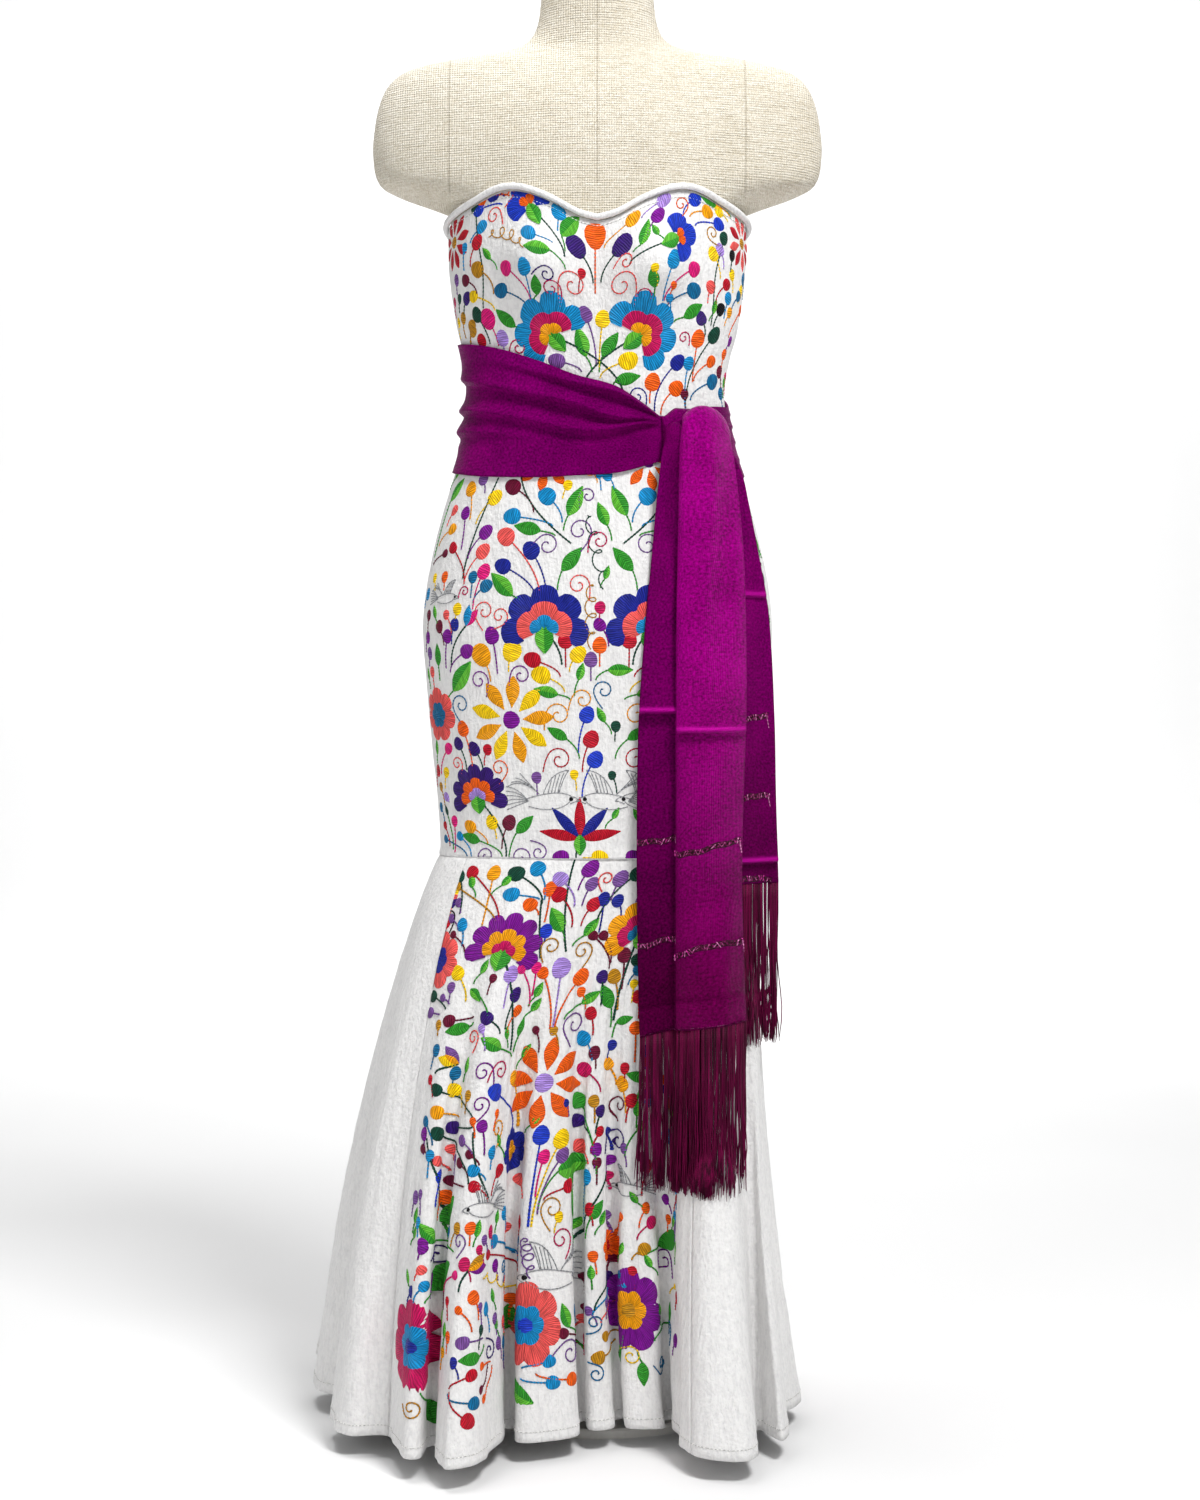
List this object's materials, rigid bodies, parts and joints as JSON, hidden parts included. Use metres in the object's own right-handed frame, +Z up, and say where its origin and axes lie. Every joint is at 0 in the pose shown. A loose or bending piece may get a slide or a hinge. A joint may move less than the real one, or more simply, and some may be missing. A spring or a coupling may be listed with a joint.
{
  "type": "mexican embroidered mermaid dress with sash on a limbless dress form",
  "caption": "Strapless floor-length mermaid dress with embroidered panels and a knotted fringed sash, worn by a limbless dress form on a round-based stand.",
  "frame": {"origin": "on the floor under the stand's pole, on the flat underside of the base", "axes": "+Z up along the pole, the dress faces -Y, +X to the viewer's right seen from the front"},
  "size_m": [0.5365, 0.5627, 1.4923],
  "materials": {
    "cotton": "crinkled plain-weave cotton, matt",
    "piping": "rolled cotton binding, matt",
    "sash": "ribbed rayon with a soft sheen",
    "fringe": "twisted rayon threads",
    "linen": "coarse undyed linen, matt",
    "neck_wood": "turned wood, satin varnish",
    "stand_paint": "off-white powder coat"
  },
  "bodies": {
    "root": {"dress_front": "cotton", "dress_back_left": "cotton", "dress_back_right": "cotton", "neckline_piping": "piping", "flounce_front": "cotton", "flounce_side_left": "cotton", "flounce_side_right": "cotton", "flounce_back_right": "cotton", "flounce_back_left": "cotton", "sash_wrap": "sash", "sash_knot": "sash", "sash_end_front": "sash", "sash_end_back": "sash", "fringe_front": "fringe", "fringe_back": "fringe", "form_torso": "linen", "form_neck_cap": "neck_wood", "stand_pole": "stand_paint", "stand_base": "stand_paint"}
  },
  "joints": []
}
